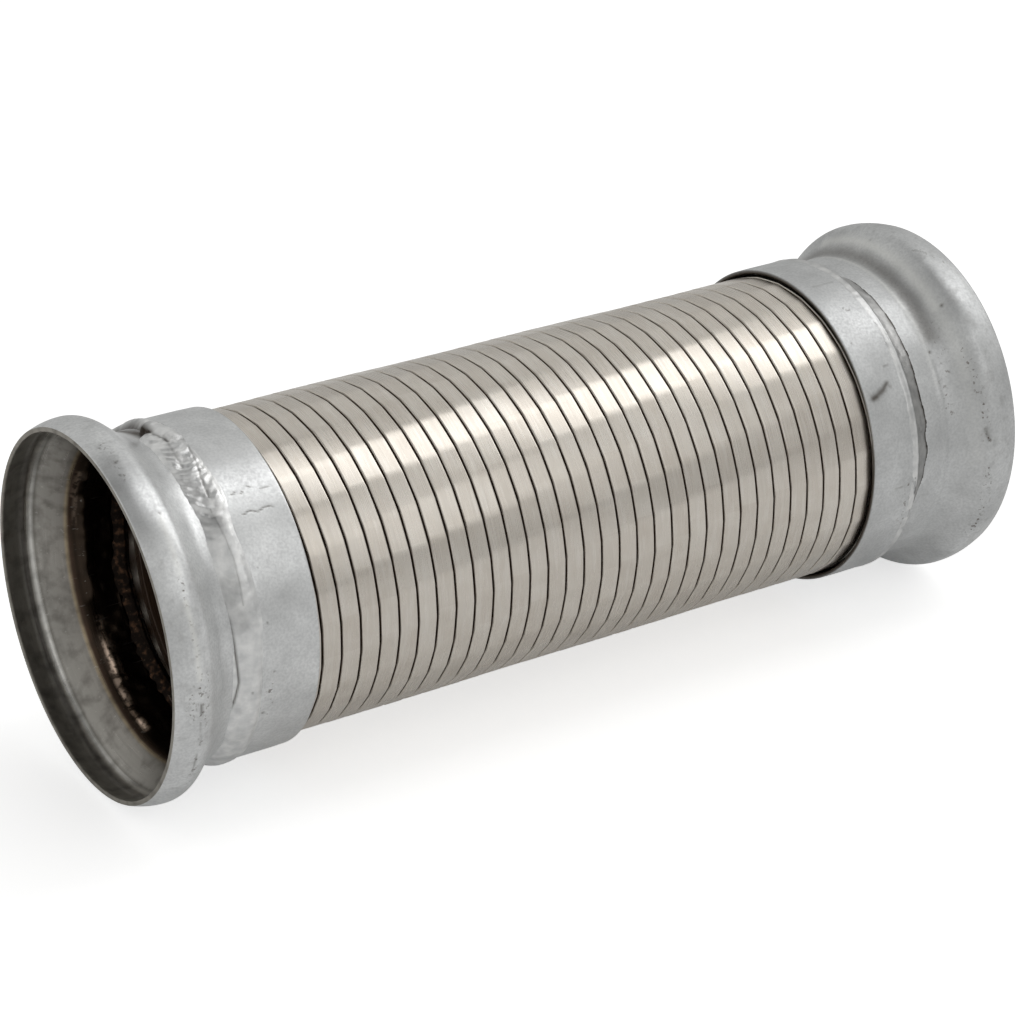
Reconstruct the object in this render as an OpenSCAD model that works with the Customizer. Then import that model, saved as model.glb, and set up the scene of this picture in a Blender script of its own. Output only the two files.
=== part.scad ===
// Flexible exhaust pipe: a strip-wound interlocked steel hose between two
// collars, with a flared clamp flange welded on each end.
// Millimetres. +X runs along the pipe from the inlet lip, +Z is up.

/* [Hose] */
// Outer radius of the hose
hose_r = 54; // [48:0.5:62]
// Turns of strip in sight between the collars
turns = 31; // [8:1:45]
// Length that one turn of the strip takes up
pitch = 7; // [6.5:0.1:8.4]
// Open gap between two neighbouring turns
turn_gap = 0.95; // [0.5:0.05:1.2]
// Thickness of the strip
strip_t = 0.5; // [0.3:0.05:0.6]
// Depth of the folded profile, from the outer to the inner face
hose_depth = 4; // [3.6:0.1:5]
// How far each hooked edge reaches past the other
hook_grip = 1.4; // [0.8:0.1:1.8]
// How far one turn can be pulled away from the next
stretch_room = 1.6; // [1.4:0.1:2]

/* [Collars] */
// Wall of the collars
collar_wall = 1.5; // [1:0.1:2.5]
// Room around the hose in the inlet collar
inlet_collar_room = 0.6; // [0.4:0.1:1]
// Room around the hose in the outlet collar
outlet_collar_room = 0.9; // [0.4:0.1:1.2]
// Length of the inlet collar
inlet_collar_l = 20.55; // [18:0.05:30]
// Length of the outlet collar
outlet_collar_l = 18.5; // [17:0.5:30]

/* [Flanges] */
// Radius at the crest of the flare
crest_r = 63.1; // [60:0.1:76]
// Distance from the lip to the crest
crest_x = 8.6; // [6.5:0.1:12]
// Outer radius of the neck
neck_r = 54.1; // [49:0.1:62]
// Wall of the flanges
flange_wall = 1.5; // [1:0.1:2]
// Distance from the inlet lip to its collar
inlet_collar_x = 33; // [33:0.5:45]
// Distance from the outlet lip to its collar
outlet_collar_x = 40; // [33:0.5:50]
// How far the necks reach into the collars
neck_tuck = 3; // [1.5:0.5:4]

/* [Welds] */
// Width of the bead on the neck, before the collar
bead_w = 6; // [4:0.5:6.5]
// Width of the bead on the collar
bead_lap = 2.5; // [1:0.5:4]
// Height of the bead above the collar
bead_h = 0.6; // [0.3:0.1:1.5]
// Width of the root bead inside the collar
root_w = 2.6; // [2:0.1:4]
// How far the root bead stands into the bore
root_h = 0.6; // [0.2:0.1:1]

/* [Hidden] */
$fn = 96;
arc_steps = 8;

lip_arc_r = 20;         // curve from the lip to the crest
lip_angle = 18;         // slope of the wall at the lip
shoulder_arc_r = 7.5;   // curve behind the crest
flank_angle = 41;       // slope of the flank behind the crest
neck_arc_r = 12;        // curve from the flank into the neck

band_w = pitch - turn_gap;
inner_r = hose_r - hose_depth;
hook_clear = (hose_depth - 2 * strip_t - hook_grip) / 2;
hook_tip_r = inner_r + strip_t + hook_clear;
catch_tip_r = hose_r - strip_t - hook_clear;
catch_x = pitch + strip_t + stretch_room;

inlet_mouth_x = inlet_collar_x + inlet_collar_l;
outlet_mouth_x = outlet_collar_x + outlet_collar_l;
hose_x = inlet_mouth_x + turn_gap;
hose_end_x = hose_x + turns * pitch;
overall_l = hose_end_x + outlet_mouth_x;

inlet_root_x = inlet_collar_x + neck_tuck;
outlet_root_x = outlet_collar_x + neck_tuck;
inlet_strip_x = inlet_root_x + root_w;
outlet_strip_x = outlet_root_x + root_w;

steel_grey = "silver";
strip_grey = "darkgray";
bead_grey = "gainsboro";

function two_digits(i) = str(i < 10 ? "0" : "", i);
function turn_name(i) = str("hose_turn_", two_digits(i));
function swapped(points) = [for (p = points) [p[1], p[0]]];
function arc_points(x, r, radius, from, to) =
    [for (i = [0 : arc_steps])
        let (a = from + (to - from) * i / arc_steps)
        [x + radius * cos(a), r + radius * sin(a)]];

// Turns an outline of [x, radius] points about the pipe's axis.
module spun(points) {
    rotate([0, 90, 0])
        rotate_extrude()
            polygon(swapped(points));
}

// Turns the part of a flat outline that lies from x0 to x1 about the pipe's axis.
module spun_between(x0, x1) {
    rotate([0, 90, 0])
        rotate_extrude()
            intersection() {
                children();
                translate([0, x0])
                    square([2 * hose_r, x1 - x0]);
            }
}

// The outlet end is built from its own lip at 0 and turned round to face the inlet.
module at_outlet() {
    translate([overall_l, 0, 0])
        rotate([0, 0, 180])
            children();
}

// The flare's line from the lip to the end of the neck, set in by a depth
// so that the same line gives the outer and the inner face.
function flange_line(depth, end_x) =
    let (
        lip = arc_points(crest_x, crest_r - lip_arc_r, lip_arc_r - depth, 90 + lip_angle, 90),
        lip_r = lip[0][1] - lip[0][0] * tan(lip_angle),
        curved_drop = (shoulder_arc_r + neck_arc_r) * (1 - cos(flank_angle)),
        flank_l = (crest_r - neck_r - curved_drop) / sin(flank_angle),
        neck_x = crest_x + (shoulder_arc_r + neck_arc_r) * sin(flank_angle) + flank_l * cos(flank_angle)
    )
    concat(
        [[0, lip_r]],
        lip,
        arc_points(crest_x, crest_r - shoulder_arc_r, shoulder_arc_r - depth, 90, 90 - flank_angle),
        arc_points(neck_x, neck_r + neck_arc_r, neck_arc_r + depth, 270 - flank_angle, 270),
        [[end_x, neck_r - depth]]
    );

function reversed(points) = [for (i = [len(points) - 1 : -1 : 0]) points[i]];

// One pressed flange: lip, flared clamp seat and neck.
module flange(end_x) {
    color(steel_grey)
        spun(concat(flange_line(0, end_x), reversed(flange_line(flange_wall, end_x))));
}

// One plain collar over the end of the hose.
module collar(start_x, mouth_x, room) {
    color(steel_grey)
        spun([
            [start_x, hose_r + room],
            [mouth_x, hose_r + room],
            [mouth_x, hose_r + room + collar_wall],
            [start_x, hose_r + room + collar_wall],
        ]);
}

// The outer bead, from the neck up over the end of the collar.
module outer_bead(collar_x, collar_r) {
    color(bead_grey)
        spun([
            [collar_x - bead_w, neck_r],
            [collar_x - bead_w / 2, neck_r + (collar_r - neck_r) / 2],
            [collar_x - bead_w / 5, collar_r + bead_h * 0.6],
            [collar_x + bead_lap * 0.2, collar_r + bead_h],
            [collar_x + bead_lap * 0.7, collar_r + bead_h * 0.6],
            [collar_x + bead_lap, collar_r],
            [collar_x, collar_r],
            [collar_x, neck_r],
        ]);
}

// The root bead inside the collar, from the neck's end to the hose's end.
module root_bead(root_x, room) {
    bore_r = neck_r - flange_wall;
    color(bead_grey)
        spun([
            [root_x, hose_r + room],
            [root_x, bore_r],
            [root_x + root_w * 0.3, bore_r - root_h],
            [root_x + root_w * 0.7, bore_r - root_h],
            [root_x + root_w, bore_r],
            [root_x + root_w, hose_r + room],
        ]);
}

// The strip's section: an outer band with a hook turned in at its start, a
// web down to the inner band, and a catch turned up at its far edge. The
// next turn's hook sits between the web and the catch.
module strip_section(x) {
    polygon(swapped([
        [x, hose_r],
        [x + band_w, hose_r],
        [x + band_w, inner_r + strip_t],
        [x + catch_x, inner_r + strip_t],
        [x + catch_x, catch_tip_r],
        [x + catch_x + strip_t, catch_tip_r],
        [x + catch_x + strip_t, inner_r],
        [x + band_w - strip_t, inner_r],
        [x + band_w - strip_t, hose_r - strip_t],
        [x + strip_t, hose_r - strip_t],
        [x + strip_t, hook_tip_r],
        [x, hook_tip_r],
    ]));
}

// One turn of strip in sight, counted from the inlet.
module hose_turn(i) {
    x = hose_x + (i - 1) * pitch;
    color(strip_grey)
        spun_between(x, x + catch_x + strip_t)
            strip_section(x);
}

// The turns held inside the inlet collar, trimmed square at the root bead.
module inlet_hose_end() {
    held = ceil((hose_x - inlet_strip_x) / pitch);
    color(strip_grey)
        for (i = [1 : held])
            spun_between(inlet_strip_x, hose_x + catch_x)
                strip_section(hose_x - i * pitch);
}

// The turns held inside the outlet collar, trimmed square at the root bead.
module outlet_hose_end() {
    last_x = overall_l - outlet_strip_x;
    held = ceil((last_x - hose_end_x) / pitch);
    color(strip_grey)
        for (i = [1 : held])
            spun_between(hose_end_x, last_x)
                strip_section(hose_end_x + (i - 1) * pitch);
}

inlet_collar_r = hose_r + inlet_collar_room + collar_wall;
outlet_collar_r = hose_r + outlet_collar_room + collar_wall;

flange(inlet_root_x);  // inlet_flange
outer_bead(inlet_collar_x, inlet_collar_r);  // inlet_weld
collar(inlet_collar_x, inlet_mouth_x, inlet_collar_room);  // inlet_collar
root_bead(inlet_root_x, inlet_collar_room);  // inlet_root_weld
inlet_hose_end();
for (i = [1 : turns])
    hose_turn(i);
outlet_hose_end();
at_outlet() root_bead(outlet_root_x, outlet_collar_room);  // outlet_root_weld
at_outlet() collar(outlet_collar_x, outlet_mouth_x, outlet_collar_room);  // outlet_collar
at_outlet() outer_bead(outlet_collar_x, outlet_collar_r);  // outlet_weld
at_outlet() flange(outlet_root_x);  // outlet_flange
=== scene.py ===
"""A flexible exhaust pipe: a strip-wound hose, two collars, and a flared clamp flange on each end."""

import math

import bmesh
import bpy
import numpy as np
from mathutils import Matrix, Vector


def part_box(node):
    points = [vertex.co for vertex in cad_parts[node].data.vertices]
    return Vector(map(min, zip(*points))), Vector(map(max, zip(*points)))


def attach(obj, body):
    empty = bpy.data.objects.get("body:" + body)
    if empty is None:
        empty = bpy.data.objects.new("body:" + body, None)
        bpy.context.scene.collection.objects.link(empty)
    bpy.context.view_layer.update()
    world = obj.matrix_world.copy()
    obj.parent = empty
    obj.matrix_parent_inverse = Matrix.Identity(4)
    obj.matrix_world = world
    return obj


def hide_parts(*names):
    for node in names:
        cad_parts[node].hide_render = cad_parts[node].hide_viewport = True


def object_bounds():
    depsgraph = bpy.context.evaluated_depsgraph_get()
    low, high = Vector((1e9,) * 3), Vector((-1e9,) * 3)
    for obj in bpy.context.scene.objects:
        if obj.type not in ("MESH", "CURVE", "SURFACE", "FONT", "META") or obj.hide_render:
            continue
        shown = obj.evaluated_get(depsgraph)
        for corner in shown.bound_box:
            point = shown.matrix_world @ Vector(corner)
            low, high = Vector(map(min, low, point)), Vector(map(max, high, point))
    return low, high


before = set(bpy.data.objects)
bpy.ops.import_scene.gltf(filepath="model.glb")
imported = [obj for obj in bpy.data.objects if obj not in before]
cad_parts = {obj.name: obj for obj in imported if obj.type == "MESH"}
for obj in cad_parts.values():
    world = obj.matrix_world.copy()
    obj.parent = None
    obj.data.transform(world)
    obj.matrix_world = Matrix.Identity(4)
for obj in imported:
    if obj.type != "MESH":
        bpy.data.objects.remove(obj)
cad_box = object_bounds()

MM = 0.001
INLET = "inlet_end"
OUTLET = "outlet_end"


# ---------------------------------------------------------------- sizes, in millimetres

def reach(node):
    """Where a round part starts and ends along the pipe, and its outer radius."""
    low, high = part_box(node)
    return low.x / MM, high.x / MM, -low.y / MM


INLET_COLLAR_X, INLET_MOUTH_X, INLET_COLLAR_R = reach("inlet_collar")
OUTLET_MOUTH_X, OUTLET_COLLAR_X, OUTLET_COLLAR_R = reach("outlet_collar")
OVERALL_L = reach("outlet_flange")[1]
CREST_R = reach("inlet_flange")[2]
INLET_NECK_END = reach("inlet_flange")[1]
OUTLET_NECK_END = OVERALL_L - reach("outlet_flange")[0]
HOSE_X, _, HOSE_R = reach("hose_turn_01")
TURNS = sum(name.startswith("hose_turn_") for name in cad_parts)
PITCH = (reach(f"hose_turn_{TURNS:02d}")[0] - HOSE_X) / (TURNS - 1)

CREST_X = 8.6            # from the lip to the crest of the flare
NECK_R = 54.1            # outside of the neck
FLANGE_WALL = 1.5
COLLAR_WALL = 1.5
LIP_ANGLE = 18           # slope of the wall at the lip, in degrees
LIP_ARC_R = 20
SHOULDER_ARC_R = 7.5
FLANK_ANGLE = 41
NECK_ARC_R = 12

STRIP_T = 0.5
BAND_W = 6.15            # width of the strip's outer band
HOSE_DEPTH = 4           # from the outer to the inner face of the folded strip
HOOK_DEPTH = 2.7         # how far the hooked edge reaches in from the outer face
CATCH_DEPTH = 1.3        # how far below the outer face the catch ends
CATCH_X = 9.1
BEND_R = 0.3             # outside of the strip's folds

FLAT_ANGLE = 358.9 / 27  # the strip is laid in short flats, a little more than 27 to a turn
FLATNESS = 0.6           # 1 lays true flats, 0 a round turn
POINTS_PER_FLAT = 8
SEAM_ANGLE = -164.0      # where one turn's piece ends and the next begins: underneath, at the back
SEAM_GAP = 0.55          # degrees left open between two pieces, so that they can tilt
LEVEL_ANGLE = 16.0       # where a visual turn lies exactly on its ring

STRIP_SEED = 40
DENT_SEED_SHIFT = 100.0
TONE_SEED_SHIFT = 200.0
CORNER_SCATTER = 0.5     # degrees by which a flat's corner strays
RADIUS_SCATTER = 0.05    # millimetres by which a corner lies in
MERGE_WITHIN = 0.001     # joins the points drawn back to a piece's ends

BORE_R = NECK_R - FLANGE_WALL
OUTLET_JOINT_X = 290.0   # where the outlet collar meets its weld
HELD_IN_INLET = 2        # turns of strip inside the inlet collar
HELD_IN_OUTLET = 1

RING_STEPS = 720
SURFACE_STEP = 0.6       # mesh spacing on surfaces that show
HIDDEN_STEP = 2.5        # and on surfaces that hardly do
BORE_STEP = 1.1          # inside the flares
BEAD_STEP = 0.34         # on the outer beads, fine enough for their ripples
ROOT_STEP = 0.45         # on the root beads


# ---------------------------------------------------------------- small helpers

def srgb(code):
    """A hex colour as written, turned to linear RGBA."""
    parts = [int(code[i:i + 2], 16) / 255 for i in (1, 3, 5)]
    return tuple(c / 12.92 if c <= 0.04045 else ((c + 0.055) / 1.055) ** 2.4 for c in parts) + (1,)


def add(tree, kind, inputs=None, **settings):
    """Adds one node. An input, under its name or number, is a value, a socket, or another node, which stands
    for its first output in use. Settings are the node's own."""
    made = tree.nodes.new(kind)
    for key, value in settings.items():
        setattr(made, key, value)
    for key, value in (inputs or {}).items():
        if isinstance(value, bpy.types.Node):
            value = next(output for output in value.outputs if output.enabled)
        if isinstance(value, bpy.types.NodeSocket):
            tree.links.new(value, made.inputs[key])
        else:
            made.inputs[key].default_value = value
    return made


def smooth_step(t):
    t = np.clip(t, 0, 1)
    return t * t * (3 - 2 * t)


def window(a, start, end, soft):
    """1 between two angles, fading out over the given degrees at each side."""
    a = (a + 180) % 360 - 180
    return smooth_step((a - start) / soft + 0.5) * smooth_step((end - a) / soft + 0.5)


def lumps(x, a, size, seed):
    """Smooth random heights from -1 to 1 with bumps of one size in mm."""
    cells = max(5, round(2 * math.pi * NECK_R / size))
    rows = 256
    grid = np.random.RandomState(seed).uniform(-1, 1, (rows, cells))
    u = x / size + 40
    v = (a % 360) / 360 * cells
    i = np.floor(u).astype(int)
    j = np.floor(v).astype(int)
    across = smooth_step(u - i)
    along = smooth_step(v - j)
    near = grid[i % rows, j % cells] * (1 - along) + grid[i % rows, (j + 1) % cells] * along
    far = grid[(i + 1) % rows, j % cells] * (1 - along) + grid[(i + 1) % rows, (j + 1) % cells] * along
    return near * (1 - across) + far * across


def away_from(x, a, line):
    """Distance in mm over the surface from a line of (x, angle) points."""
    mm_per_degree = math.radians(1) * NECK_R * 1.07      # between the neck's girth and the flare's
    across = ((a + 180) % 360 - 180) * mm_per_degree
    nearest = np.full(np.shape(x), 1e9)
    points = [(p[0], p[1] * mm_per_degree) for p in line]
    if len(points) == 1:
        points = points * 2
    for (ax, ay), (bx, by) in zip(points, points[1:]):
        dx = bx - ax
        dy = by - ay
        t = np.clip(((x - ax) * dx + (across - ay) * dy) / max(dx * dx + dy * dy, 1e-9), 0, 1)
        nearest = np.minimum(nearest, np.hypot(x - ax - t * dx, across - ay - t * dy))
    return nearest


def mark(x, a, line, width):
    """1 on a line or spot of (x, angle) points, fading to 0 past its width in mm."""
    return np.exp(-(away_from(x, a, line) / (width / 2)) ** 2)


def marks(x, a, table):
    """Several marks together: each is (strength, width, points)."""
    total = np.zeros(np.shape(x))
    for strength, width, line in table:
        total = np.maximum(total, strength * mark(x, a, line, width))
    return total


def arc(x, r, radius, start, end, steps=14):
    turns = [math.radians(start + (end - start) * i / steps) for i in range(steps + 1)]
    return [(x + radius * math.cos(t), r + radius * math.sin(t)) for t in turns]


def spaced(points, step):
    """The same line with its points at equal steps."""
    line = np.array(points, float)
    lengths = np.hypot(*np.diff(line, axis=0).T)
    line = line[np.concatenate([[True], lengths > 1e-6])]
    along = np.concatenate([[0], np.cumsum(np.hypot(*np.diff(line, axis=0).T))])
    at = np.linspace(0, along[-1], max(2, round(along[-1] / step) + 1))
    return list(zip(np.interp(at, along, line[:, 0]), np.interp(at, along, line[:, 1])))


def finish_piece(piece, body, nodes):
    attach(piece, body)
    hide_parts(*nodes)
    return piece


def turned(name, outline, materials, body, nodes, shape=None, paint=None, inner_from=None):
    """Turns a closed outline of (x, radius) about the pipe. shape(x, r, a) moves its points and
    paint(x, r, a) gives its attributes. The second material starts at outline point inner_from."""
    x, a = np.meshgrid([p[0] for p in outline], np.arange(RING_STEPS) * 360 / RING_STEPS)
    r = np.broadcast_to([p[1] for p in outline], x.shape).copy()
    if shape:
        x, r = shape(x, r, a)
    t = np.radians(a)
    verts = np.stack([x, -r * np.sin(t), r * np.cos(t)], axis=-1).reshape(-1, 3) * MM
    n = len(outline)
    k, i = np.meshgrid(np.arange(n), np.arange(RING_STEPS))
    j = (i + 1) % RING_STEPS
    m = (k + 1) % n
    faces = np.stack([i * n + k, i * n + m, j * n + m, j * n + k], axis=-1).reshape(-1, 4)
    mesh = bpy.data.meshes.new(name)
    mesh.from_pydata(verts.tolist(), [], faces.tolist())
    for key, values in (paint(x, r, a) if paint else {}).items():
        layer = mesh.attributes.new(key, "FLOAT", "POINT")
        layer.data.foreach_set("value", np.broadcast_to(values, x.shape).astype(np.float32).ravel())
    for material in materials:
        mesh.materials.append(material)
    if inner_from is not None:
        mesh.polygons.foreach_set("material_index", (k.ravel() >= inner_from).astype(np.int32))
    closed = bmesh.new()
    closed.from_mesh(mesh)
    bmesh.ops.recalc_face_normals(closed, faces=closed.faces)
    closed.to_mesh(mesh)
    closed.free()
    mesh.shade_smooth()
    piece = bpy.data.objects.new(name, mesh)
    bpy.context.scene.collection.objects.link(piece)
    return finish_piece(piece, body, nodes)


# ---------------------------------------------------------------- materials

def new_material(name, *carried):
    """An empty material, its Object coordinates, and the attributes that its pieces carry for it."""
    material = bpy.data.materials.new(name)
    material.use_nodes = True
    tree = material.node_tree
    tree.nodes.clear()
    place = add(tree, "ShaderNodeTexCoord").outputs["Object"]
    return material, tree, place, *[
        add(tree, "ShaderNodeAttribute", attribute_name=key).outputs["Fac"] for key in carried
    ]


def mottle(tree, place, size_mm, detail=3.0, stretch=(1, 1, 1)):
    """An uneven pattern with features of one size in mm, drawn out along an axis by a stretch above 1."""
    scaled = add(tree, "ShaderNodeMapping", {"Vector": place, "Scale": [1 / s for s in stretch]})
    return add(tree, "ShaderNodeTexNoise", {"Vector": scaled, "Scale": 1000 / size_mm, "Detail": detail})


def coated(tree, tone, coats):
    """Lays colours over a tone, one after another. A coat is what it follows and its colour, and may end
    with four numbers: two levels of what it follows, and how much of the colour shows at each."""
    under, over = 6, 7       # the mix's two colour sockets
    for follows, colour, *span in coats:
        if span:
            follows = add(tree, "ShaderNodeMapRange", {0: follows, **dict(enumerate(span, 1))})
        tone = add(tree, "ShaderNodeMix", {0: follows, under: tone, over: srgb(colour)}, data_type="RGBA")
    return tone


def fill_ramp(ramp, bands):
    """Sets a colour ramp's stops: each is its place from 0 to 1 and its colour."""
    stops = ramp.color_ramp.elements
    while len(stops) < len(bands):
        stops.new(0.5)
    for stop, (at, colour) in zip(stops, bands):
        stop.position = at
        stop.color = colour


def finished(tree, colour, roughness, height, bump_mm, bump_strength, metallic=1.0):
    """A metal surface with a bump, wired to the output. Metals keep the default IOR."""
    bump = add(tree, "ShaderNodeBump",
               {"Height": height, "Distance": bump_mm * MM, "Strength": bump_strength})
    metal = add(tree, "ShaderNodeBsdfPrincipled", {
        "Base Color": colour, "Metallic": metallic, "Roughness": roughness, "Normal": bump,
    })
    add(tree, "ShaderNodeOutputMaterial", {"Surface": metal})


def aluminised_steel(name, darkest, lightest, smoothest, dullest):
    """Aluminised steel, dull and fine-grained as dipped: wide soft highlights, a speckle, grey smudges."""
    material, tree, place, dirt, shine, specks = new_material(name, "dirt", "shine", "specks")
    grain = mottle(tree, place, 0.9)          # the coat's spangle, about 1 mm
    cloud = mottle(tree, place, 11, 4.0)      # smudges from handling
    fleck = mottle(tree, place, 1.3, 3.0)     # rust specks inside a soiled zone
    fleck = add(tree, "ShaderNodeMapRange", {0: fleck, 1: 0.59, 2: 0.66, 3: 0.0, 4: 1.0})
    rust = add(tree, "ShaderNodeMath", {0: fleck, 1: specks}, operation="MULTIPLY")
    tone = coated(tree, srgb(darkest), [
        (cloud, lightest, 0.3, 0.7, 0.0, 1.0),
        (grain, "#97999a", 0.35, 0.65, 0.0, 0.22),
        (rust, "#665c54"),
        # dark marks: pits and specks, and painted shade in recesses, hollows and creases
        (dirt, "#4d453c"),
        # painted highlights; on the inlet's crest they lie over a worn ridge
        (shine, "#f4f4f0"),
    ])
    rough = add(tree, "ShaderNodeMapRange", {0: grain, 1: 0.3, 2: 0.7, 3: smoothest, 4: dullest})
    finished(tree, tone, rough, grain, 0.05, 0.5)
    return material


def weld_metal():
    """Weld metal as it set, coated over: painted highlights on its ripples, painted shade in its folds."""
    material, tree, place, dirt, shine = new_material("weld_metal", "dirt", "shine")
    grain = mottle(tree, place, 0.8)
    cloud = mottle(tree, place, 4, 3.0)
    tone = coated(tree, srgb("#cfd0d0"), [
        (cloud, "#f1f1f0", 0.3, 0.7, 0.0, 1.0),
        # painted shade in the bead's folds, crack, recesses and hollows, with a few dark marks
        (dirt, "#3d362f"),
        # painted highlights on the ripples
        (shine, "#f9f9f8"),
    ])
    rough = add(tree, "ShaderNodeMapRange", {0: cloud, 1: 0.3, 2: 0.7, 3: 0.32, 4: 0.46})
    finished(tree, tone, rough, grain, 0.08, 0.6)
    return material


BORE_DEPTH = 50.0        # the bore's bands are placed as shares of this many mm from the lip


def turned_bore():
    """The flare's inside, turned and then run hot: a dark lip, a polished ring, straw and brown beyond."""
    material, tree, place, depth, shine = new_material("turned_bore", "depth", "shine")
    heat = add(tree, "ShaderNodeValToRGB", {"Fac": depth})
    bands = [(0.0, "#aaa69e"), (0.12, "#a29e96"), (0.165, "#dcdad5"), (0.215, "#e6e4df"), (0.235, "#8e8b85"),
             (0.25, "#a5a29c"), (0.385, "#94908a"), (0.4, "#ab9c84"), (0.42, "#54443a"), (0.45, "#3d332b"),
             (1.0, "#2b241f")]
    fill_ramp(heat, [(at, srgb(colour)) for at, colour in bands])
    lathe = mottle(tree, place, 0.5, 2.0, stretch=(1, 60, 60))     # turning marks, 0.5 mm apart
    drag = mottle(tree, place, 1.2, 2.0, stretch=(14, 1, 1))       # scratches along the pipe
    soil = mottle(tree, place, 5, 4.0)
    scale = mottle(tree, place, 1.8, 3.0)                          # breaks up the flaked spots, which are painted bright as glints
    flaked = add(tree, "ShaderNodeMapRange", {0: scale, 1: 0.4, 2: 0.55, 3: 0.15, 4: 1.0})
    bare = add(tree, "ShaderNodeMath", {0: shine, 1: flaked}, operation="MULTIPLY")
    tone = coated(tree, heat, [
        (soil, "#3a342e", 0.45, 0.75, 0.0, 0.5),
        (drag, "#d9d7d1", 0.66, 0.8, 0.0, 0.4),
        # flaked scale, painted bright cream as a glint of light along the weld's root
        (bare, "#f3d9c4"),
    ])
    dull_lip = add(tree, "ShaderNodeMapRange", {0: depth, 1: 0.13, 2: 0.17, 3: 0.3, 4: 0.0})
    fine = add(tree, "ShaderNodeMapRange", {0: lathe, 1: 0.3, 2: 0.7, 3: 0.26, 4: 0.42})
    rough = add(tree, "ShaderNodeMath", {0: fine, 1: dull_lip}, operation="ADD")
    finished(tree, tone, rough, lathe, 0.04, 0.5)
    return material


def pipe_radius(tree, place):
    """How far a point is from the pipe's axis, in mm."""
    parts = add(tree, "ShaderNodeSeparateXYZ", {0: place}).outputs
    flat = add(tree, "ShaderNodeCombineXYZ", {1: parts[1], 2: parts[2]})
    length = add(tree, "ShaderNodeVectorMath", {0: flat}, operation="LENGTH")
    return add(tree, "ShaderNodeMath", {0: length, 1: 1 / MM}, operation="MULTIPLY")


def rolled_stainless():
    """Cold-rolled stainless strip: bright, faintly brown, fine lines along it, soot in the folds."""
    material, tree, place, flat_tone = new_material("rolled_stainless", "tone")
    rolled = mottle(tree, place, 0.45, 2.0, stretch=(1, 40, 40))   # rolling lines, coarse enough to show
    stain = mottle(tree, place, 9, 3.0)
    streak = mottle(tree, place, 1.3, 2.0, stretch=(1, 9, 9))
    radius = pipe_radius(tree, place)
    tone = coated(tree, srgb("#cfc7bc"), [
        (stain, "#e4dfd7"),
        (flat_tone, "#b5aa9e", 0.0, 1.0, 0.0, 0.22),
        (streak, "#ebe7e0", 0.5, 0.72, 0.0, 0.3),
        # painted highlight: near-white along the strip's folds at the edge of each gap
        (radius, "#fffaf0", HOSE_R - 0.5, HOSE_R - 0.25, 0.9, 0.0),
        (radius, "#5f4c3e", HOSE_R - 0.75, HOSE_R - 0.5, 1.0, 0.0),
        (radius, "#4a392d", HOSE_R - 2.8, HOSE_R - 1.8, 1.0, 0.0),
    ])
    bare = add(tree, "ShaderNodeMapRange",      # soot covers it in the gaps
               {0: radius, 1: HOSE_R - 0.5, 2: HOSE_R - 0.3, 3: 0.15, 4: 1.0})
    rough = add(tree, "ShaderNodeMapRange", {0: rolled, 1: 0.3, 2: 0.7, 3: 0.24, 4: 0.34})
    finished(tree, tone, rough, rolled, 0.02, 0.35, bare)
    return material


def scorched_weld():
    """A root bead scorched by the gas: black and rust-brown, a few bright ridges."""
    material, tree, place = new_material("scorched_weld")
    crust = mottle(tree, place, 2.2, 4.0)
    grit = mottle(tree, place, 0.8, 2.0)
    tone = coated(tree, srgb("#1d1815"), [
        (crust, "#4a3629", 0.5, 0.7, 0.0, 1.0),
        (grit, "#8c7862", 0.7, 0.8, 0.0, 0.6),
    ])
    rough = add(tree, "ShaderNodeMapRange", {0: crust, 1: 0.3, 2: 0.7, 3: 0.5, 4: 0.3})
    finished(tree, tone, rough, grit, 0.15, 0.7)
    return material


STEEL = aluminised_steel("aluminised_steel", "#d3d4d4", "#e9eaea", 0.33, 0.44)
# a rougher copy for the outlet end, its colours darker as painted shade for the end farther from the light
DULL_SHADED_STEEL = aluminised_steel("aluminised_steel_dull_shaded", "#c4c5c5", "#d8d9d9", 0.42, 0.53)
WELD = weld_metal()
BORE = turned_bore()
STRIP = rolled_stainless()
ROOT = scorched_weld()


# ---------------------------------------------------------------- flanges and collars

def flare_line(depth, end_x):
    """The flange's line from its lip to the end of the neck, set in from the outer face by a depth."""
    slope = math.tan(math.radians(LIP_ANGLE))
    flank = math.radians(FLANK_ANGLE)
    lip = arc(CREST_X, CREST_R - LIP_ARC_R, LIP_ARC_R - depth, 90 + LIP_ANGLE, 90)
    lip_r = lip[0][1] - lip[0][0] * slope
    bend = SHOULDER_ARC_R + NECK_ARC_R
    drop = bend * (1 - math.cos(flank))
    flank_l = (CREST_R - NECK_R - drop) / math.sin(flank)
    neck_x = CREST_X + bend * math.sin(flank) + flank_l * math.cos(flank)
    return ([(0.0, lip_r)] + lip
            + arc(CREST_X, CREST_R - SHOULDER_ARC_R, SHOULDER_ARC_R - depth, 90, 90 - FLANK_ANGLE)
            + arc(neck_x, NECK_R + NECK_ARC_R, NECK_ARC_R + depth, 270 - FLANK_ANGLE, 270)
            + [(end_x, NECK_R - depth)])


def flange_outline(end_x):
    """Outer face, then the neck's end and the inner face, with the lip's edges rounded."""
    outer = spaced(flare_line(0, end_x), SURFACE_STEP)
    inner = spaced(flare_line(FLANGE_WALL, end_x), BORE_STEP)
    edge = 0.3
    outer[0] = (edge * 0.5, outer[0][1] - 0.05)
    inner[0] = (edge * 0.5, inner[0][1] + 0.05)
    face = [(0.0, outer[0][1] - edge), (0.0, inner[0][1] + edge)]
    return outer + inner[::-1] + face[::-1], len(outer)


# Dark marks on the inlet flange: pits and specks, and in the last row painted shade.
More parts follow.
